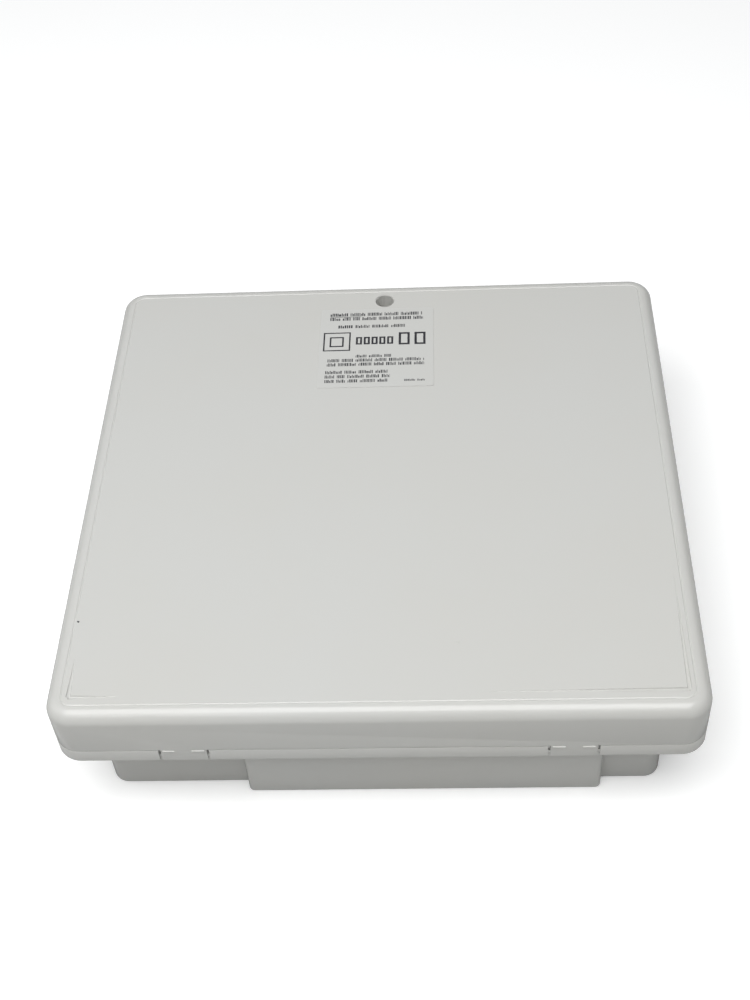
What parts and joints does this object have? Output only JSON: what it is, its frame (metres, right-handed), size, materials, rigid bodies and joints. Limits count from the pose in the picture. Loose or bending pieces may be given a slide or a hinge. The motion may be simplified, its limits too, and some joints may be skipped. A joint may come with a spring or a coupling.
{
  "type": "alarm control panel",
  "caption": "Square white plastic wall-mounted alarm control panel with a hinged, screwed cover over its board, mains supply and standby battery.",
  "frame": {"origin": "middle of the case's flat back, which lies against the wall", "axes": "+Z out of the wall through the cover's face, +Y towards the panel's top edge, +X to the right as the cover is read"},
  "size_m": [0.3, 0.295, 0.0803],
  "materials": {
    "case_plastic": "satin moulded, fine texture",
    "label_film": "satin printed film",
    "zinc_steel": "zinc plated",
    "lamination_steel": "varnished laminations",
    "brass": "machined",
    "aluminium": "extruded, natural",
    "tinned_metal": "tin plated",
    "spring_steel": "bright wire",
    "circuit_board": "solder resist",
    "terminal_plastic": "moulded",
    "black_plastic": "moulded",
    "white_plastic": "moulded",
    "capacitor_sleeve": "shrink sleeve",
    "winding_tape": "polyester tape",
    "battery_case_plastic": "moulded",
    "battery_top_plastic": "moulded",
    "fuse_glass": "clear tube",
    "rubber": "soft",
    "red_plastic": "flexible insulation",
    "green_lens": "diffused lens",
    "red_lens": "diffused lens",
    "brown_insulation": "flexible insulation",
    "yellow_insulation": "flexible insulation"
  },
  "bodies": {
    "rear_housing": {"rear_housing": "case_plastic", "screw_insert": "brass", "main_board": "circuit_board", "board_screw_lower_left": "zinc_steel", "board_screw_lower_right": "zinc_steel", "board_screw_upper_left": "zinc_steel", "board_screw_upper_right": "zinc_steel", "terminal_strip_upper_left": "terminal_plastic", "terminal_strip_upper_right": "terminal_plastic", "terminal_strip_lower_left": "terminal_plastic", "terminal_strip_lower_right": "terminal_plastic", "microcontroller": "black_plastic", "memory_chip": "black_plastic", "bell_relay": "white_plastic", "output_relay": "white_plastic", "smoothing_capacitor": "capacitor_sleeve", "output_capacitor": "capacitor_sleeve", "regulator_heatsink": "aluminium", "board_fuse_1": "fuse_glass", "board_fuse_2": "fuse_glass", "board_fuse_3": "fuse_glass", "communicator_header": "black_plastic", "communicator_board": "circuit_board", "supply_indicator": "green_lens", "fault_indicator": "red_lens", "board_sounder": "black_plastic", "reset_button_body": "tinned_metal", "tamper_switch_body": "black_plastic", "tamper_spring": "spring_steel", "battery_case": "battery_case_plastic", "battery_top": "battery_top_plastic", "battery_terminal_negative": "tinned_metal", "battery_terminal_positive": "tinned_metal", "battery_connector_black": "black_plastic", "battery_connector_red": "red_plastic", "battery_lead_black": "black_plastic", "battery_lead_red": "red_plastic", "transformer_core": "lamination_steel", "transformer_winding": "winding_tape", "transformer_frame": "zinc_steel", "transformer_screw_lower": "zinc_steel", "transformer_screw_upper": "zinc_steel", "mains_terminal_block": "white_plastic", "mains_fuse_base": "black_plastic", "primary_lead": "brown_insulation", "secondary_lead": "yellow_insulation", "mains_grommet": "rubber"},
    "front_cover": {"front_cover": "case_plastic", "rating_label": "label_film"},
    "cover_screw_washer": {"cover_screw_washer": "zinc_steel"},
    "cover_screw": {"cover_screw": "zinc_steel"},
    "tamper_plunger": {"tamper_plunger": "white_plastic"},
    "reset_button_cap": {"reset_button_cap": "black_plastic"},
    "mains_fuse_carrier": {"mains_fuse_carrier": "black_plastic", "mains_fuse": "fuse_glass"}
  },
  "joints": [
    {"name": "cover_hinge", "type": "hinge", "parent": "rear_housing", "child": "front_cover", "pos_m": [0, -0.146, 0.048], "axis": [1, 0, 0], "range_deg": [0, 110]},
    {"name": "cover_screw_lift", "type": "slide", "parent": "front_cover", "child": "cover_screw_washer", "axis": [0, 0, 1], "range_m": [0, 0.008]},
    {"name": "cover_screw_turn", "type": "hinge", "parent": "cover_screw_washer", "child": "cover_screw", "pos_m": [0, 0.1325, 0.067], "axis": [0, 0, 1], "range_deg": [0, 4120]},
    {"name": "tamper_plunger_travel", "type": "slide", "parent": "rear_housing", "child": "tamper_plunger", "axis": [0, 0, 1], "range_m": [0, 0.003], "deforming": ["tamper_spring"]},
    {"name": "reset_button_press", "type": "slide", "parent": "rear_housing", "child": "reset_button_cap", "axis": [0, 0, 1], "range_m": [-0.0005, 0], "stiffness_N_per_m": 500, "springref_m": 0.0008},
    {"name": "fuse_carrier_hinge", "type": "hinge", "parent": "rear_housing", "child": "mains_fuse_carrier", "pos_m": [-0.072, -0.039, 0.0158], "axis": [0, 1, 0], "range_deg": [0, 75]}
  ],
  "couplings": [
    {"joint": "cover_screw_turn", "follows": "cover_screw_lift", "rad_per_m": 8976},
    {"joint": "tamper_plunger_travel", "follows": "cover_hinge", "m_per_rad": 0.0015}
  ]
}
